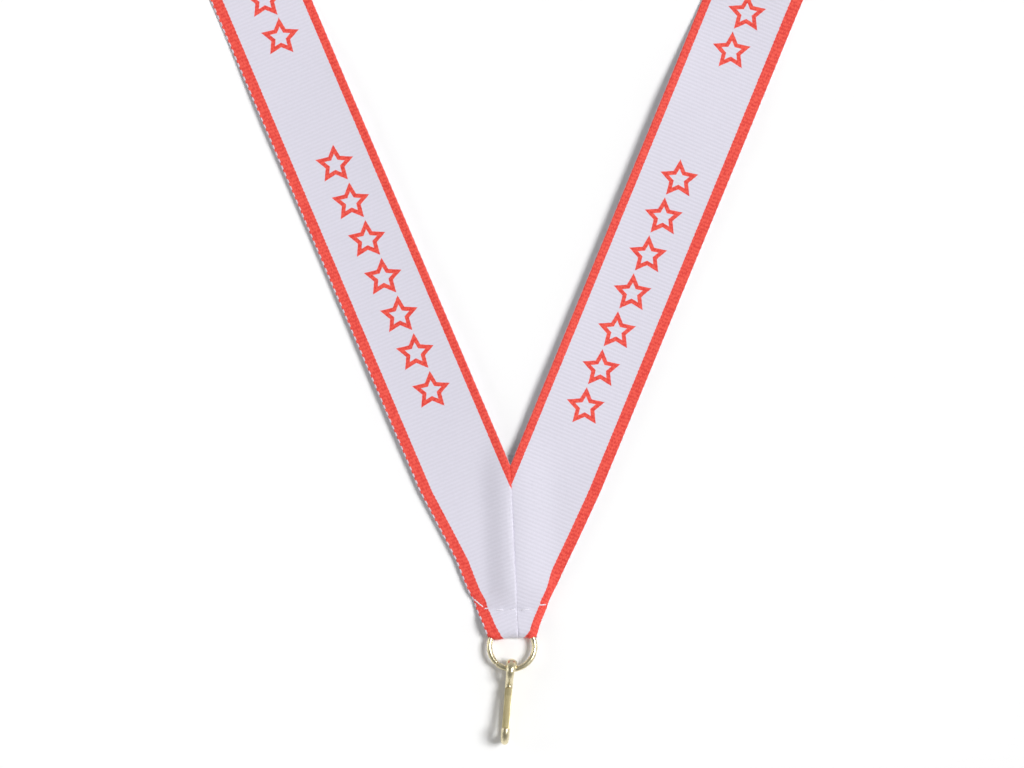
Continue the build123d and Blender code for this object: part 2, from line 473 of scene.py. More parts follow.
def brushed_strip(metal):
    """Rolled spring strip with lines along its length."""
    g = Graph("brushed_strip")
    across, along = g.attribute("strip_across"), g.attribute("strip_along")
    lines = g.noise(g.point(across * 34.0, along), 420.0, 3.0)
    haze = g.noise(g.place(), 600.0)
    # The strip is lighter and glossier along both edges.
    edge_band = g.smooth(abs(across), 0.66 * MM, 0.86 * MM)
    colour = g.mix(g.smooth(lines, 0.30, 0.62), (0.34, 0.27, 0.12), tuple(metal.strip))
    colour = g.mix(edge_band * 0.7, colour, tuple(metal.plating))
    roughness = 0.36 + lines * 0.16 - edge_band * 0.12 + (haze - 0.5) * 0.1
    return g.principled(
        {
            "Base Color": colour,
            "Metallic": 1.0,
            "Roughness": roughness,
            "Normal": g.bump(lines, 0.012 * MM, 0.5),
        }
    )


def table_top():
    """Plain white board."""
    g = Graph("table_top")
    mottle = g.noise(g.place(), 30.0)
    colour = g.mix(mottle, (0.93, 0.93, 0.93), (0.95, 0.95, 0.95))
    return g.principled({"Base Color": colour, "Roughness": 0.9, "Specular IOR Level": 0.1})


# ---------------------------------------------------------------- mesh helpers


def smoothstep(low, high, value):
    """0 at low, 1 at high, and smooth between. Low may be the greater."""
    share = np.clip((value - low) / (high - low), 0, 1)
    return share * share * (3 - 2 * share)


def unit(vectors):
    """Vectors of length 1, along the last axis."""
    length = np.linalg.norm(vectors, axis=-1, keepdims=True)
    return vectors / np.maximum(length, 1e-12)


def run_along(path):
    """How far along a path each of its points is."""
    return np.concatenate([[0], np.cumsum(np.linalg.norm(np.diff(path, axis=0), axis=1))])


def make_object(name, points, faces, material, attributes=None):
    """A smooth-shaded mesh object from an array of points and a list of faces."""
    mesh = bpy.data.meshes.new(name)
    mesh.from_pydata([tuple(p) for p in points], [], faces)
    for key, values in (attributes or {}).items():
        layer = mesh.attributes.new(key, "FLOAT", "POINT")
        layer.data.foreach_set("value", np.asarray(values, np.float32).ravel())
    mesh.polygons.foreach_set("use_smooth", [True] * len(mesh.polygons))
    mesh.update()
    mesh.materials.append(material)
    return link(bpy.data.objects.new(name, mesh))


def link(thing):
    """Puts an object in the scene."""
    bpy.context.scene.collection.objects.link(thing)
    return thing


def tube_faces(rings, around, base=0):
    """Faces of a tube of rings of points, closed by a cap at each end."""
    faces = []
    for i in range(rings - 1):
        for j in range(around):
            k = (j + 1) % around
            a, b = base + i * around, base + (i + 1) * around
            faces.append((a + j, b + j, b + k, a + k))
    faces.append(tuple(base + j for j in range(around)))
    last = base + (rings - 1) * around
    faces.append(tuple(last + j for j in reversed(range(around))))
    return faces


def smooth_path(points, step):
    """Points a step apart on a smooth curve through the given points."""
    knots = np.asarray(points, float)
    padded = np.vstack([2 * knots[0] - knots[1], knots, 2 * knots[-1] - knots[-2]])
    line = []
    for a, b, c, d in zip(padded, padded[1:], padded[2:], padded[3:]):
        square, cube = 2 * a - 5 * b + 4 * c - d, 3 * b - a - 3 * c + d
        for t in np.linspace(0, 1, 24, endpoint=False):
            line.append(0.5 * (2 * b + (c - a) * t + square * t**2 + cube * t**3))
    line = np.array(line + [knots[-1]])
    run = run_along(line)
    spaced = np.linspace(0, run[-1], max(2, int(round(run[-1] / step)) + 1))
    return np.stack([np.interp(spaced, run, values) for values in line.T], 1), spaced


def thread_mesh(path, radius, ply_turn, around=7):
    """Points and faces of a two-ply thread: two strands twisted round a path."""
    along = unit(np.gradient(path, axis=0))
    side = unit(np.cross(along, (0, 0, 1)))
    up = np.cross(side, along)
    run = run_along(path)
    end = np.minimum(run, run[-1] - run) / radius
    taper = np.sqrt(np.clip(end, 0.04, 1))
    points, faces = [], []
    for ply in range(2):
        turn = run / ply_turn * 2 * math.pi + ply * math.pi
        core = path + radius * 0.5 * (side * np.cos(turn)[:, None] + up * np.sin(turn)[:, None])
        base = len(points)
        for i, centre in enumerate(core):
            for j in range(around):
                a = 2 * math.pi * j / around
                spoke = side[i] * math.cos(a) + up[i] * math.sin(a)
                points.append(centre + radius * 0.58 * taper[i] * spoke)
        faces += tube_faces(len(core), around, base)
    return points, faces


# ---------------------------------------------------------------- ribbon


class Ring:
    """The jump ring's centre line, taken from the frame."""

    wire = 1.3 * MM
    joint = math.radians(-133)  # where its ends butt, from +X
    gap = 0.12 * MM  # between the ends

    def __init__(self):
        low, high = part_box("jump_ring")
        self.radius = (high.x - low.x - self.wire) / 2
        self.centre = np.array((low + high) / 2)
        self.tilt = math.asin((high.z - low.z - self.wire) / (2 * self.radius))

    def at(self, angle):
        """Point of the centre line at an angle from +X."""
        c, s = np.cos(angle), np.sin(angle)
        flat = np.stack([c, s * math.cos(self.tilt), -s * math.sin(self.tilt)], -1)
        return self.centre + flat * self.radius

    def push_out(self, space, half):
        """Moves points that would lie inside the wire out to its surface."""
        angle = np.arctan2(space[..., 1] - self.centre[1], space[..., 0] - self.centre[0])
        arm = space - self.at(angle)
        away = np.linalg.norm(arm, axis=-1)
        wanted = self.wire / 2 + half + 0.04 * MM
        push = np.maximum(wanted - away, 0) / np.maximum(away, 0.05 * MM)  # never divided by 0
        return space + arm * push[..., None]


def wire_mesh(path, wide, tall, side, around):
    """A round or oval wire along a path, and how far along and round it each point is."""
    run = run_along(path)
    ahead = unit(np.gradient(path, axis=0))
    side = unit(side - ahead * np.sum(ahead * side, 1)[:, None])
    up = np.cross(side, ahead)
    angle = np.linspace(0, 2 * math.pi, around, endpoint=False)
    ring = wide[:, None, None] * side[:, None] * np.cos(angle)[None, :, None]
    ring = ring + tall[:, None, None] * up[:, None] * np.sin(angle)[None, :, None]
    points = (path[:, None] + ring).reshape(-1, 3)
    attributes = {"wire_along": np.repeat(run, around), "wire_round": np.tile(angle, len(path))}
    return points, tube_faces(len(path), around), attributes


def end_taper(run, chamfer):
    """Share of the full radius along a wire whose ends are rounded over."""
    end = np.clip(np.minimum(run, run[-1] - run) / chamfer, 0, 1)
    return 0.80 + 0.20 * np.sqrt(1 - (1 - end) ** 2)


class Route:
    """Where each point of the strip lies.

    "Up" is measured from a leg's foot along its outer edge, and "across" inwards from that edge.
    """

    point = np.array((-0.4, 33.0)) * MM  # where the inner edges meet
    flat_leg = 122 * MM  # above the point, along the outer edge
    twist_length = 58 * MM
    seam_foot = np.array((1.2, -1.6)) * MM  # where the seam meets the hem
    fold_radius = 0.28 * MM  # of the cloth turned under at the seam
    allowance = 3.6 * MM  # cloth turned under at the seam
    lap = {LEFT: -0.12 * MM, RIGHT: 0.10 * MM}  # how far each side's fold passes the seam
    lift = {LEFT: 1.60 * MM, RIGHT: 1.15 * MM}  # of the cloth beside the seam
    ridge = {LEFT: 7.6 * MM, RIGHT: 11.0 * MM}  # width of the lifted cloth
    tilt = {LEFT: 1.1 * MM, RIGHT: 1.5 * MM}  # rise of a leg from its outer border to the inner
    tail_drop = 21 * MM  # cloth below the stitches, round the ring and back up
    gather = 27 * MM  # where the outer edges start to draw in
    # Outline of the point: Y of the flat strip, and X of its left and right edges there
    outline = MM * np.array((
        (16.0, -15.95, 15.85), (10.6, -13.15, 13.25), (5.9, -11.35, 11.0), (3.5, -10.35, 9.75),
        (1.1, -9.0, 8.6), (-0.8, -8.45, 8.0), (-2.8, -7.65, 7.2), (-4.8, -6.85, 6.45),
        (-6.7, -6.1, 5.9), (-8.2, -5.3, 5.4), (-10.5, -4.95, 5.1), (-24.0, -4.7, 4.8),
    ))
    # Y and Z of the front layer down over the ring, round the fold and back up behind
    side_view = MM * np.array((
        (22.0, 1.22), (14.0, 1.22), (8.0, 1.20), (4.5, 1.15), (1.5, 1.10), (-0.6, 1.12),
        (-2.2, 1.50), (-3.4, 2.22), (-4.6, 2.56), (-5.9, 2.62), (-7.0, 2.2), (-7.45, 1.40),
        (-7.0, 0.60), (-5.9, 0.27), (-3.0, 0.24), (0.0, 0.24), (5.0, 0.24),
    ))

    def __init__(self, ribbon):
        self.width, self.cloth = ribbon.width, ribbon.cloth
        leans = {LEFT: ribbon.left_lean, RIGHT: ribbon.right_lean}
        self.leans = {side: math.radians(lean) for side, lean in leans.items()}
        low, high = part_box("neck_band")
        self.radius = (high.x - low.x) / 2 - self.cloth
        self.centre = np.array(((high.x + low.x) / 2, high.y - self.radius - self.cloth))
        self.profile, self.profile_run = smooth_path(self.side_view, 0.1 * MM)
        self.slope = np.gradient(self.profile, self.profile_run, axis=0)
        self.ring = Ring()

    def heading(self, side):
        """Direction up a leg."""
        return np.array((math.sin(self.leans[side]), math.cos(self.leans[side])))

    def inward(self, side):
        """Direction across a leg, from its outer border to its inner one."""
        return -side * np.array((math.cos(self.leans[side]), -math.sin(self.leans[side])))

    def foot(self, side):
        """Where a leg's straight outer edge crosses the row of stitches."""
        edge = self.point - self.inward(side) * self.width
        return edge - self.heading(side) * (edge[1] / self.heading(side)[1])

    def flat_top(self, side):
        """How far up from its foot a leg lies flat, along its outer edge."""
        edge = self.point - self.inward(side) * self.width
        return np.linalg.norm(edge - self.foot(side)) + self.flat_leg

    def touch(self, side):
        """How far up from its foot the outer edge meets the loop's circle."""
        arm = self.centre - self.foot(side)
        return float(arm[0] * self.heading(side)[0] + arm[1] * self.heading(side)[1])

    def leg_length(self, side):
        """From the foot to the top of the neck loop."""
        return self.touch(side) + self.radius * (math.pi / 2 + abs(self.leans[side]))

    def seam(self, y):
        """X of the mitre seam."""
        run, drop = (self.seam_foot - self.point) * (1, -1)
        return self.point[0] + run / drop * np.maximum(self.point[1] - y, 0)

    def spread(self, side, up, across):
        """Place of the flat strip before it is folded, drawn in towards the hem."""
        foot, heading, inward = self.foot(side), self.heading(side), self.inward(side)
        x = foot[0] + up * heading[0] + across * inward[0]
        y = foot[1] + up * heading[1] + across * inward[1]
        tangent = heading[0] / heading[1]
        level, edges = self.outline[::-1, 0], self.outline[::-1, 1 if side == LEFT else 2]
        level = np.append(level, self.gather)
        edges = np.append(edges, foot[0] + self.gather * tangent)
        drawn = np.interp(y, level, edges - foot[0] - level * tangent)
        return x + drawn * (y < self.gather), y

    def seam_reach(self, side, up):
        """How far across the strip the seam lies, at each place up the leg."""
        across = np.linspace(0, self.width * 1.6, 400)
        x, y = self.spread(side, up[:, None], across[None])
        beyond = -side * (x - self.seam(y))
        return np.array([np.interp(0.0, row, across) for row in beyond])

    def turn_under(self, side, x, y):
        """Turns the cloth beyond the seam under. Returns its X, place beside the seam and depth."""
        r = self.fold_radius
        before = -side * (x - self.seam(y)) + r - self.lap[side]
        turn = np.clip(before / r, 0, math.pi)
        after = np.maximum(before - math.pi * r, 0)
        past = np.minimum(before, 0) + self.lap[side] - r + r * np.sin(turn) - after
        return self.seam(y) - side * past, past, r * (1 - np.cos(turn))

    def rise(self, side, up, across, y, past):
        """How far the cloth lifts off the hem's side view: a ridge at the seam, waves and tilt."""
        near_point = smoothstep(-4 * MM, 6 * MM, y) * (1 - smoothstep(28 * MM, 44 * MM, y))
        near_seam = 1 - smoothstep(1.3 * MM, self.ridge[side], -past)
        short, long = np.sin(up / (17 * MM) + side), np.sin(up / (41 * MM) + 2.0)
        share = across / self.width
        wave = (short * 0.18 + long * 0.22 + 0.22 * (share * 2 - 1) ** 4) * MM
        free = smoothstep(15 * MM, 55 * MM, y)
        return self.lift[side] * near_point * near_seam + (wave + self.tilt[side] * share) * free

    def over_ring(self, x, y, height):
        """Bends the cloth below the foot over the ring, round the fold and back up behind."""
        top = self.profile[0, 0]
        run = np.clip(top - y, 0, self.profile_run[-1])
        values = (*self.profile.T, *self.slope.T)
        bent_y, bent_z, slope_y, slope_z = (np.interp(run, self.profile_run, v) for v in values)
        above = np.maximum(y - top, 0)
        return np.stack([x, bent_y + above + slope_z * height, bent_z - slope_y * height], -1)

    def pull_stitches(self, space, y):
        """Draws the front layer down where each stitch goes in."""
        front = smoothstep(-12 * MM, -8 * MM, y)
        for hole_x, hole_y in (hole for stitch in STITCHES for hole in stitch):
            away = np.hypot(space[..., 0] - hole_x * MM, space[..., 1] - hole_y * MM) / (0.8 * MM)
            space[..., 2] -= 0.20 * MM * front * np.exp(-(away**2))
        return space

    def curl_edge(self, side, across, y, space):
        """Curls the edges under by the stitches, narrows the right border, widens the left."""
        if side == RIGHT:
            near = smoothstep(9 * MM, 3 * MM, y) * smoothstep(-8.5 * MM, -6 * MM, y)
            fades = 1 - smoothstep(2.6 * MM, 5.2 * MM, across)
            reach = np.clip(across / (2.3 * MM), 0, 1) * fades
            space[..., 0] += 0.95 * MM * near * reach
            space[..., 2] -= 0.75 * MM * near * np.clip(1 - across / (2.0 * MM), 0, 1) ** 2
        else:
            near = smoothstep(-4.5 * MM, -8 * MM, y) * smoothstep(-14 * MM, -10 * MM, y)
            fades = 1 - smoothstep(3 * MM, 7 * MM, across)
            reach = np.clip(across / (2.6 * MM), 0, 1) * fades
            space[..., 0] += 0.6 * MM * near * reach
            pinch = np.exp(-(((y + 0.2 * MM) / (2.2 * MM)) ** 2))
            space[..., 2] -= 0.45 * MM * pinch * np.clip(1 - across / (2.4 * MM), 0, 1) ** 2
        return space

    def lie(self, side, up, across):
        """Place in space of the flat part of a leg, with its seam, foot and hem folded."""
        x, y = self.spread(side, up, across)
        x, past, under = self.turn_under(side, x, y)
        space = self.over_ring(x, y, self.rise(side, up, across, y, past) - under)
        # The fold juts out a little at both borders.
        left_jut = 0.55 * MM * np.exp(-(((x + 3.9 * MM) / (1.5 * MM)) ** 2))
        right_jut = 0.25 * MM * smoothstep(3.8 * MM, 5.2 * MM, x)
        space[..., 1] -= (left_jut + right_jut) * smoothstep(-5.5 * MM, -7.4 * MM, space[..., 1])
        space = self.curl_edge(side, across, y, self.pull_stitches(space, y))
        return self.ring.push_out(space, self.cloth / 2)

    def stand(self, side, up, across):
        """Place in space of the stretch that twists up and stands round the neck loop."""
        touch = self.touch(side)
        foot, heading, inward = self.foot(side), self.heading(side), self.inward(side)
        turn = side * np.maximum(up - touch, 0) / self.radius
        c, s = np.cos(turn), np.sin(turn)
        arm = foot + touch * heading - self.centre
        straight = np.minimum(up, touch)
        round_x = self.centre[0] + c * arm[0] - s * arm[1]
        round_y = self.centre[1] + s * arm[0] + c * arm[1]
        edge_x = np.where(up > touch, round_x, foot[0] + heading[0] * straight)
        edge_y = np.where(up > touch, round_y, foot[1] + heading[1] * straight)
        in_x, in_y = c * inward[0] - s * inward[1], s * inward[0] + c * inward[1]
        rise = smoothstep(0, self.twist_length, up - self.flat_top(side)) * math.pi / 2
        reach = across * np.cos(rise) - self.cloth / 2 * np.sin(rise)
        bow = 0.5 * MM * np.sin(rise * 2) * np.sin(across / self.width * math.pi)
        height = across * np.sin(rise) + bow + 0.28 * MM
        return np.stack([edge_x + reach * in_x, edge_y + reach * in_y, height], -1)

    def columns(self, side, up):
        """How far across the strip each column of the mesh lies, closer at edge and seam."""
        seam = self.seam_reach(side, up)
        least, near_hem = 0.9 * MM, 6 * MM
        turned = least + self.allowance * smoothstep(26 * MM, 14 * MM, up)
        at_hem = least + 2.7 * MM * smoothstep(0, near_hem, up)
        turned = np.where(up < near_hem, np.minimum(turned, at_hem), turned)
        last = np.minimum(self.width, seam + turned)
        turn = np.minimum(seam - 0.45 * MM, self.width - 2.0 * MM)[:, None]
        edge = np.array((0, 0.12, 0.3, 0.6, 1.0, 1.5, 2.1, 2.6)) * MM
        edge = np.minimum(edge, turn * 0.6 * edge / edge[-1])
        middle = edge[:, -1:] + (turn - edge[:, -1:]) * np.linspace(0, 1, 12)[1:]
        shares = np.array((0.09, 0.17, 0.25, 0.33, 0.42, 0.55, 0.75, 1.0))
        under = turn + (last[:, None] - turn) * shares
        return np.concatenate([edge, middle, under], 1)

    def side_grid(self, side, up):
        """The strip's middle surface on one side, and how far across it each column lies."""
        across = self.columns(side, up)
        up = up[:, None] + 0 * across
        top = self.flat_top(side)
        join = smoothstep(top - 30 * MM, top + 2 * MM, up)[..., None]
        space = self.lie(side, up, across) * (1 - join) + self.stand(side, up, across) * join
        return space, across


def printed_runs(motif, along, total):
    """Counts the runs of stars along the strip, and gives the star row's place across it."""
    first, last = 79.3 * MM, total - 75.4 * MM  # middles of the first and last run
    row = np.interp(along, (first, last), (11.85 * MM, 10.95 * MM))
    pitch = motif.run_pitch
    between = round((last - first) / pitch) - 2
    stops = (0, first, first + pitch, last - pitch, last, total)
    end_mark = 2 + between
    after_last = (total - last) / pitch
    marks = (-first / pitch, 0, 1, 1 + between, end_mark, end_mark + after_last)
    mark = np.interp(along, stops, marks)
    return mark, mark < end_mark + 0.5, row


def weave_ribbon(ribbon, motif):
    """The whole strip as one closed mesh, with its ribs and edge loops."""
    route = Route(ribbon)
    half_rib = ribbon.rib / 2
    sides = []
    for side in (LEFT, RIGHT):
        reach = route.leg_length(side)
        count = round((reach + route.tail_drop) / half_rib)
        up = np.linspace(-route.tail_drop, reach, count + 1)
        sides.append((up, *route.side_grid(side, up)))
    (up_left, grid_left, across_left), (up_right, grid_right, across_right) = sides
    grid = np.concatenate([grid_left, grid_right[-2::-1]])
    across = np.concatenate([across_left, across_right[-2::-1]])
    total = up_left[-1] + up_right[-1]
    along = np.concatenate([up_left, total - up_right[-2::-1]])
    rings, columns = across.shape

    wide = np.gradient(grid, axis=1)
    rib_height = 0.018 * MM * np.where(np.arange(rings) % 2 == 0, 1, -1)[:, None, None]
    offset = unit(np.cross(wide, np.gradient(grid, axis=0))) * (ribbon.cloth / 2 + rib_height)
    front, back = grid + offset, grid - offset
    # The weft turns back at the edges in a small loop every fourth half rib.
    loops = 0.5 + 0.5 * np.cos(np.arange(rings) * math.pi / 2)
    edge_out = (0.06 + 0.10 * loops)[:, None] * MM
    outer_rim = grid[:, 0] - unit(wide[:, 0]) * edge_out
    inner_rim = grid[:, -1] + unit(wide[:, -1]) * edge_out

    def round_strip(front, inner, back, outer):
        """Joins values of the two faces and the two rims, in the order of the mesh's points."""
        return np.concatenate([front, inner[:, None], back[:, ::-1], outer[:, None]], 1)

    points = round_strip(front, inner_rim, back, outer_rim)
    around = points.shape[1]
    ring_across = round_strip(across, across[:, -1], across, across[:, 0])
    mark, before_last, row = printed_runs(motif, along, total)
    whole_ring = {
        "along": along,
        "white_edge": 1 - smoothstep(0.3, 0.6, along / total),
        "mark": mark,
        "before_last": before_last,
    }
    attributes = {name: np.repeat(values, around) for name, values in whole_ring.items()}
    attributes["across"] = ring_across
    attributes["star_y"] = ring_across - row[:, None]
    attributes["face"] = np.tile(np.arange(around) < columns, rings)
    return points.reshape(-1, 3), tube_faces(rings, around), attributes


# ---------------------------------------------------------------- threads


def seam_thread(route):
    """The thread of the mitre seam, weaving up and down between the legs."""
    low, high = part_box("seam_thread")
    count = 60
    y = np.linspace(low.y, high.y, count)
    wave = np.cos(np.arange(count) * math.pi / 2) * 0.10 * MM
    path, _ = smooth_path(np.stack([route.seam(y), y, 0.50 * MM + wave], 1), 0.12 * MM)
    return thread_mesh(path, 0.12 * MM, 0.9 * MM)


def stitch_row(mesh):
    """The stitches above the ring, each arched over the cloth from hole to hole."""
    cloth = BVHTree.FromPolygons(
        [v.co for v in mesh.vertices], [polygon.vertices for polygon in mesh.polygons]
    )
    count, above, bare_height = 9, 10 * MM, 0.6 * MM
    arch = np.sin(np.linspace(0, math.pi, count)) ** 0.6 * 0.24 * MM
    points, faces = [], []
    for start, end in STITCHES:
        flat = np.linspace(np.array(start) * MM, np.array(end) * MM, count)
        hits = [cloth.ray_cast((x, y, above), (0, 0, -1))[0] for x, y in flat]
        heights = np.array([bare_height if hit is None else hit.z for hit in hits])
        path, _ = smooth_path(np.column_stack([flat, heights - 0.16 * MM + arch]), 0.06 * MM)
        more, more_faces = thread_mesh(path, 0.17 * MM, 1.1 * MM)
        faces += [tuple(len(points) + i for i in face) for face in more_faces]
        points += more
    return points, faces


# ---------------------------------------------------------------- snap hook


class Hook:
    """The snap hook's route in its own upright plane: U runs down the hook and V runs up."""

    wire = 1.75 * MM
    turn = math.radians(-4.5)  # round the ring from its lowest point
    eye_hole, eye_clearance = 1.1 * MM, 0.08 * MM
    ring_in_eye = math.radians(30)
    eye_opening = math.radians(45)
    neck_bend, neck_length, neck_gap = 1.3 * MM, 2.45 * MM, 0.05 * MM
    length = 17.9 * MM
    bend = 2.35 * MM
    nose = 1.0 * MM
    seat_depth = 0.16 * MM
    leaf_width, leaf, leaf_root = 1.7 * MM, 0.35 * MM, 1.9 * MM
    overlap, clearance = 1.0 * MM, 0.05 * MM  # of the leaf and the nose

    def __init__(self):
        ring = Ring()
        self.pivot = ring.at(np.array(self.turn - math.pi / 2))
        self.way = np.array((math.sin(self.turn), -math.cos(self.turn), 0))
        self.across = np.array((-math.cos(self.turn), -math.sin(self.turn), 0))
        self.eye = self.eye_hole + self.wire / 2
        offset = self.eye_hole - ring.wire / 2 - self.eye_clearance
        self.spine_v = self.wire / 2 - self.pivot[2]
        self.eye_u = offset * math.cos(self.ring_in_eye)
        self.bend_u = self.length - self.wire / 2 - self.bend
        self.neck_v = self.spine_v + self.wire + self.neck_gap
        self.nose_v = self.spine_v + 2 * self.bend
        self.seat_v = self.neck_v + self.wire / 2 - self.seat_depth
        sine, cosine = math.sin(self.eye_opening), math.cos(self.eye_opening)
        drop = self.neck_bend * (1 - cosine)
        self.slope = (self.eye * (1 + sine) - (self.neck_v - self.spine_v) - drop) / sine
        self.neck_u = self.eye_u + (self.eye + self.slope + self.neck_bend) * cosine
        self.gate_u = self.neck_u + self.neck_length

    def place(self, flat, shift=0.0):
        """Points of the hook's plane in space, shifted across it."""
        flat, shift = np.asarray(flat), np.asarray(shift)
        up = np.array((0, 0, 1))
        in_plane = flat[:, :1] * self.way + flat[:, 1:2] * up
        return self.pivot + in_plane + shift[..., None] * self.across

    def route(self):
        """The wire's centre line from its nose to its neck's end, and which points are its eye."""
        half = math.pi / 2
        nose = [(self.bend_u - self.nose * t, self.nose_v) for t in np.linspace(1, 0.1, 8)]
        bend_centre = (self.bend_u, self.spine_v + self.bend)
        bend = arc_points(bend_centre, self.bend, half, -half, 40)
        spine = [(u, self.spine_v) for u in np.linspace(self.bend_u, self.eye_u, 60)[1:-1]]
        eye_centre = (self.eye_u, self.spine_v + self.eye)
        eye = arc_points(eye_centre, self.eye, -half, self.eye_opening - 2 * math.pi, 56)
        end, c, s = np.array(eye[-1]), math.cos(self.eye_opening), math.sin(self.eye_opening)
        down = self.slope * np.array((s, -c))
        slope = [tuple(end + down * t) for t in np.linspace(0, 1, 10)[1:]]
        centre = np.array(slope[-1]) + self.neck_bend * np.array((c, s))
        flat = 1.5 * math.pi
        turn = arc_points(centre, self.neck_bend, math.pi + self.eye_opening, flat, 14)[1:]
        turn_u, turn_v = turn[-1]
        neck = [(turn_u + self.neck_length * t, turn_v) for t in np.linspace(0, 1, 22)[1:]]
        before = nose + bend + spine
        points = np.array(before + eye + slope + turn + neck)
        place = np.arange(len(points)) - len(before)
        return points, (place >= 0) & (place < len(eye))

    def leaf_line(self):
        """The leaf's underside from its root on the neck to its tip behind the nose."""
        tip_u = self.bend_u - self.nose + self.overlap
        tip_v = self.nose_v - self.wire / 2 - self.clearance - self.leaf
        root = [(self.gate_u - self.leaf_root * t, self.seat_v) for t in np.linspace(1, 0, 12)]
        reach = np.linspace((self.gate_u, self.seat_v), (tip_u, tip_v), 60)[1:]
        return np.concatenate([root, reach])


def arc_points(centre, radius, start, end, count):
    """Points of an arc in a plane, between two angles."""
    angles = np.linspace(start, end, count)
    return [(centre[0] + radius * math.cos(t), centre[1] + radius * math.sin(t)) for t in angles]


def leaf_mesh(hook):
    """The gate: a crowned strip with rounded edges and clipped corners."""
    line = hook.leaf_line()
    run = run_along(line)
    ahead = unit(np.gradient(line, axis=0))
    normal = np.stack([-ahead[:, 1], ahead[:, 0]], 1)
    half, edge, corner = hook.leaf_width / 2, 0.07 * MM, 0.35 * MM
    clip = np.clip(np.minimum(run, run[-1] - run) / corner, 0, 1)
    narrow = 1 - 0.16 * (1 - np.sqrt(1 - (1 - clip) ** 2))
    across = np.array((-1, -0.97, -0.88, -0.6, -0.3, 0, 0.3, 0.6, 0.88, 0.97, 1))
    top = np.stack([across * half, hook.leaf + (0.01 - 0.03 * across**2) * MM], 1)
    top[0, 1] = top[-1, 1] = hook.leaf - edge
    bottom = np.stack([across[::-1] * half, np.zeros(len(across))], 1)
    bottom[0, 1] = bottom[-1, 1] = edge
    section = np.concatenate([top, bottom])
    flat = line[:, None] + normal[:, None] * section[None, :, 1:]
    shift = narrow[:, None] * section[None, :, 0]
    points = hook.place(flat.reshape(-1, 2), shift.ravel())
    around = len(section)
    attributes = {
        "strip_across": np.tile(section[:, 0], len(line)),
        "strip_along": np.repeat(run, around),
    }
    return points, tube_faces(len(line), around), attributes


# ---------------------------------------------------------------- stage


def table():
    """A wide white table, a hair below the lowest point."""
    bm = bmesh.new()
    bmesh.ops.create_grid(bm, x_segments=8, y_segments=8, size=4.0)
    mesh = bpy.data.meshes.new("table")
    bm.to_mesh(mesh)
    bm.free()
    mesh.materials.append(table_top())
    board = link(bpy.data.objects.new("table", mesh))
    board.location = (0, 0, CAD_BOX[0].z - 0.05 * MM)
    return board


def hang_lamp(light, place, aim):
    """Hangs a light at a place, facing the aim."""
    lamp = link(bpy.data.objects.new(light.name, light))
    lamp.location = place
    lamp.rotation_euler = (place - aim).to_track_quat("Z", "Y").to_euler()


def room(stage):
    """A white room, bright round the table and dimmer overhead."""
    world = bpy.data.worlds.new("room")
    world.use_nodes = True
    nodes, links = world.node_tree.nodes, world.node_tree.links
    nodes.clear()
    coordinates = nodes.new("ShaderNodeTexCoord")
    split = nodes.new("ShaderNodeSeparateXYZ")
    ramp = nodes.new("ShaderNodeMapRange")
    ramp.interpolation_type = "SMOOTHSTEP"
    limits = {"From Min": 0.25, "From Max": 0.70, "To Min": stage.horizon, "To Max": stage.ceiling}
    for name, value in limits.items():
        ramp.inputs[name].default_value = value
    background = nodes.new("ShaderNodeBackground")
    background.inputs["Color"].default_value = (1.0, 1.0, 1.0, 1)
    output = nodes.new("ShaderNodeOutputWorld")
    links.new(coordinates.outputs["Generated"], split.inputs[0])
    links.new(split.outputs[2], ramp.inputs["Value"])
    links.new(ramp.outputs[0], background.inputs["Strength"])
    links.new(background.outputs[0], output.inputs[0])
    return world


# ---------------------------------------------------------------- operators


class OBJECT_OT_neck_ribbon(bpy.types.Operator):
    """Weave the strip with its borders, printed stars, mitred point and hem"""

    bl_idname = "neck_ribbon.ribbon"
    bl_label = "Ribbon"

    def execute(self, context):
        ribbon, motif = context.scene.neck_ribbon, context.scene.neck_ribbon_motif
        points, faces, attributes = weave_ribbon(ribbon, motif)
        strip = make_object("ribbon", points, faces, grosgrain(ribbon, motif), attributes)
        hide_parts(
            "left_leg", "right_leg", "left_twist", "right_twist", "neck_band", "hem_loop"
        )
        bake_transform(strip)
        return {"FINISHED"}


class OBJECT_OT_neck_ribbon_threads(bpy.types.Operator):
    """Sew the mitre seam and the row of stitches above the ring"""

    bl_idname = "neck_ribbon.threads"
    bl_label = "Threads"

    def execute(self, context):
        ribbon, material = context.scene.neck_ribbon, sewing_thread()
        seam = make_object("mitre_seam_thread", *seam_thread(Route(ribbon)), material)
        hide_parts("seam_thread")
        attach(seam, "ribbon")

        strip = context.scene.objects["ribbon"]
        row = make_object("hem_stitch_row", *stitch_row(strip.data), material)
        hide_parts("hem_stitches")
        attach(row, "ribbon")
        return {"FINISHED"}


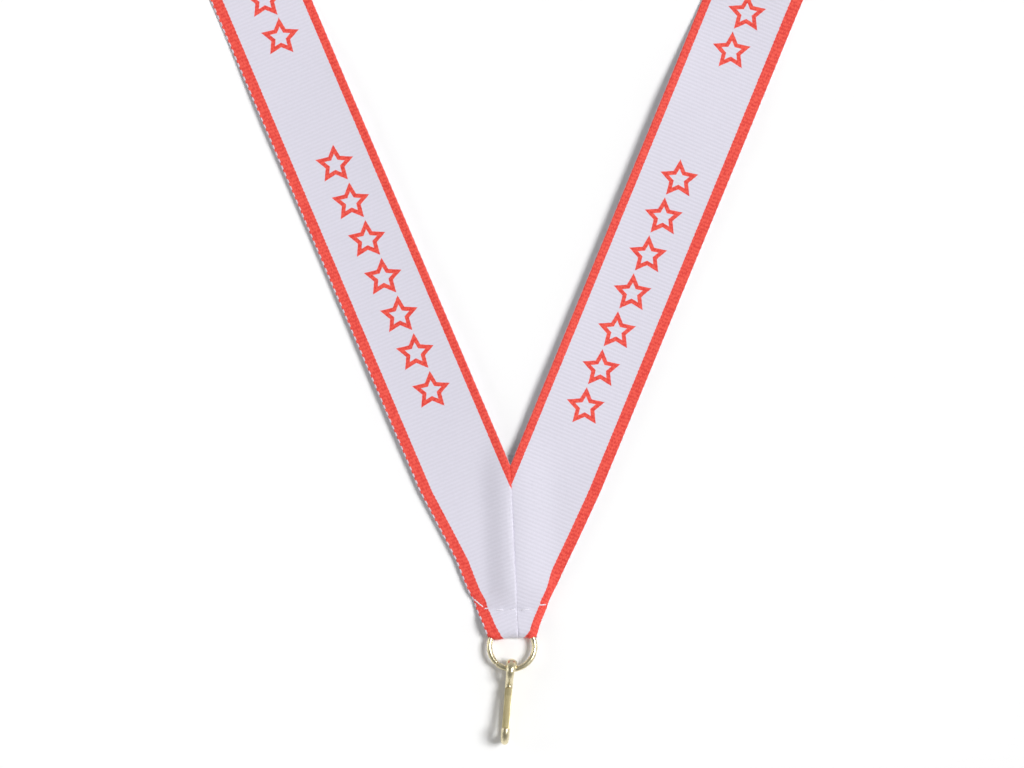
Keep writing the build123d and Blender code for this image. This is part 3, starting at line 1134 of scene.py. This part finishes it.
class OBJECT_OT_neck_ribbon_ring(bpy.types.Operator):
    """Bend and plate the jump ring, with its two ends butting"""

    bl_idname = "neck_ribbon.ring"
    bl_label = "Jump ring"

    def execute(self, context):
        ring = Ring()
        share = np.linspace(0, 1, 220)
        half_gap = ring.gap / ring.radius / 2
        first, last = ring.joint + half_gap, ring.joint + 2 * math.pi - half_gap
        angle = first + (last - first) * share
        path = ring.at(angle)
        # The two ends were never quite lined up when the ring was closed.
        path[:, 2] += 0.05 * MM * (smoothstep(0.8, 1, share) - smoothstep(0.2, 0, share))
        run = ring.radius * (angle - first)
        radius = ring.wire / 2 * end_taper(run, 0.13 * MM)
        side = path - ring.centre
        points, faces, attributes = wire_mesh(path, radius, radius, side, WIRE_SIDES)
        plating = plated_wire(context.scene.neck_ribbon_metal, "ring_plating")
        thing = make_object("ring_of_wire", points, faces, plating, attributes)
        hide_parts("jump_ring")
        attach(thing, "ring")
        return {"FINISHED"}


class OBJECT_OT_neck_ribbon_hook(bpy.types.Operator):
    """Bend the snap hook from one wire and fit its leaf spring gate"""

    bl_idname = "neck_ribbon.hook"
    bl_label = "Snap hook"

    def execute(self, context):
        metal = context.scene.neck_ribbon_metal
        hook = Hook()
        flat, in_eye = hook.route()
        run = run_along(flat)
        eye_run = run[in_eye]
        eye_share = np.clip((run - eye_run[0]) / (eye_run[-1] - eye_run[0]), 0, 1)
        swell = np.sin(eye_share * math.pi) ** 2
        # The eye is squeezed flat and leans to one side, so that the neck can lie on the spine.
        path = hook.place(flat, -0.22 * MM * swell)
        nose_swell = 1 - smoothstep(0, 5.5 * MM, run)
        radius = hook.wire / 2 * end_taper(run, 0.42 * MM)
        wide = radius * (1.04 + 0.38 * swell + 0.10 * nose_swell)
        tall = radius * (1 - 0.04 * swell)
        side = np.repeat(hook.across[None], len(path), 0)
        points, faces, attributes = wire_mesh(path, wide, tall, side, WIRE_SIDES)
        # The neck's end is ground flat where the leaf is seated.
        seat = np.repeat(run > run[-1] - hook.leaf_root, WIRE_SIDES)
        seat_z = hook.pivot[2] + hook.seat_v - 0.01 * MM
        points[seat, 2] = np.minimum(points[seat, 2], seat_z)
        plating = plated_wire(metal, "hook_plating")
        thing = make_object("hook_of_wire", points, faces, plating, attributes)
        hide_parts("hook_wire")
        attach(thing, "hook")

        points, faces, attributes = leaf_mesh(hook)
        leaf = make_object("gate_leaf", points, faces, brushed_strip(metal), attributes)
        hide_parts("gate_spring")
        bend = 3.0 * MM  # of the leaf's length, from the neck
        start, end = hook.place([(hook.gate_u + u, hook.seat_v) for u in (0, bend)])
        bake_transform(leaf)
        return {"FINISHED"}


class OBJECT_OT_neck_ribbon_stage(bpy.types.Operator):
    """Set the table, the light and the camera"""

    bl_idname = "neck_ribbon.stage"
    bl_label = "Stage"

    def execute(self, context):
        stage = context.scene.neck_ribbon_stage
        table()
        aim = Vector((0, stage.middle, 0))
        sun = bpy.data.lights.new("key", "SUN")
        sun.energy, sun.angle = stage.key, math.radians(stage.softness)
        hang_lamp(sun, aim + Vector((1.0, 0.22, 1.42)), aim)
        panel = bpy.data.lights.new("left_panel", "AREA")
        panel.energy, panel.size, panel.shape = stage.panel, 0.5, "SQUARE"
        hang_lamp(panel, aim + Vector((-1.1, 0.2, 0.55)), aim)
        context.scene.world = room(stage)
        context.scene.view_settings.view_transform = "Standard"

        camera = bpy.data.cameras.new("camera")
        camera.sensor_width = 36
        camera.lens = camera.sensor_width * stage.height / stage.field
        camera.clip_start, camera.clip_end = 0.01, 20
        rig = link(bpy.data.objects.new("camera", camera))
        rig.location = (0, stage.middle, stage.height)
        context.scene.camera = rig
        return {"FINISHED"}


class VIEW3D_PT_neck_ribbon(bpy.types.Panel):
    """Lists the ribbon's pieces and settings."""

    bl_label = "Neck Ribbon"
    bl_idname = "VIEW3D_PT_neck_ribbon"
    bl_space_type = "VIEW_3D"
    bl_region_type = "UI"
    bl_category = "Neck Ribbon"

    def draw(self, context):
        for group in GROUPS:
            settings = getattr(context.scene, group)
            box = self.layout.box()
            for name in settings.__annotations__:
                box.prop(settings, name)
        for operator in OPERATORS:
            self.layout.operator(operator.bl_idname)


GROUPS = {
    "neck_ribbon": RibbonSettings,
    "neck_ribbon_motif": MotifSettings,
    "neck_ribbon_metal": MetalSettings,
    "neck_ribbon_stage": StageSettings,
}
OPERATORS = (
    OBJECT_OT_neck_ribbon_stage,
    OBJECT_OT_neck_ribbon,
    OBJECT_OT_neck_ribbon_ring,
    OBJECT_OT_neck_ribbon_threads,
    OBJECT_OT_neck_ribbon_hook,
)


def register():
    for group in GROUPS.values():
        bpy.utils.register_class(group)
    for operator in (*OPERATORS, VIEW3D_PT_neck_ribbon):
        bpy.utils.register_class(operator)
    for name, group in GROUPS.items():
        setattr(bpy.types.Scene, name, PointerProperty(type=group))


def unregister():
    for name in GROUPS:
        delattr(bpy.types.Scene, name)
    for kind in reversed((*GROUPS.values(), *OPERATORS, VIEW3D_PT_neck_ribbon)):
        bpy.utils.unregister_class(kind)


def main():
    register()
    bpy.ops.neck_ribbon.stage()
    bpy.ops.neck_ribbon.ribbon()
    bpy.ops.neck_ribbon.ring()
    bpy.ops.neck_ribbon.threads()
    bpy.ops.neck_ribbon.hook()


if __name__ == "__main__":
    main()
